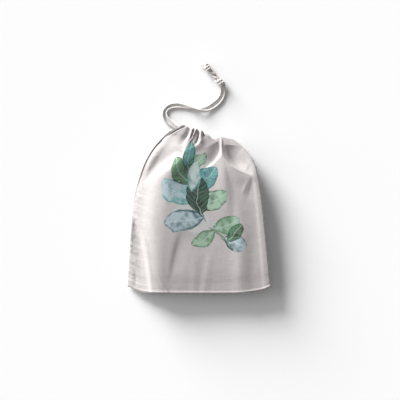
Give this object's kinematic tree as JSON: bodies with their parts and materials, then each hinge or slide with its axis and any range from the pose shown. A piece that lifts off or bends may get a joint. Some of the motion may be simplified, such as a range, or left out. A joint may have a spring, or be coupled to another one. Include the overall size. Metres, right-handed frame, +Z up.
{
  "type": "small cotton drawstring bag",
  "caption": "Flat-lying cotton drawstring bag, lightly filled, its hemmed mouth drawn shut to one side, with the cord's tails laid out in a curve and knotted together.",
  "frame": {"origin": "centre of the bag's own bounding box, without its free cord, on the surface it lies on", "axes": "+Z up out of the surface, +Y along the bag from its closed bottom to its drawn mouth, +X across it to the right of the printed front"},
  "size_m": [0.2507, 0.4098, 0.0378],
  "materials": {
    "front_cotton": "matt plain-weave cotton with a printed design",
    "back_cotton": "matt plain-weave cotton",
    "cord_cotton": "matt soft cotton cord"
  },
  "bodies": {
    "root": {"front_panel": "front_cotton", "back_panel": "back_cotton", "drawcord_in_hems": "cord_cotton", "drawcord_upper_tail": "cord_cotton", "drawcord_lower_tail": "cord_cotton", "knot": "cord_cotton"}
  },
  "joints": []
}
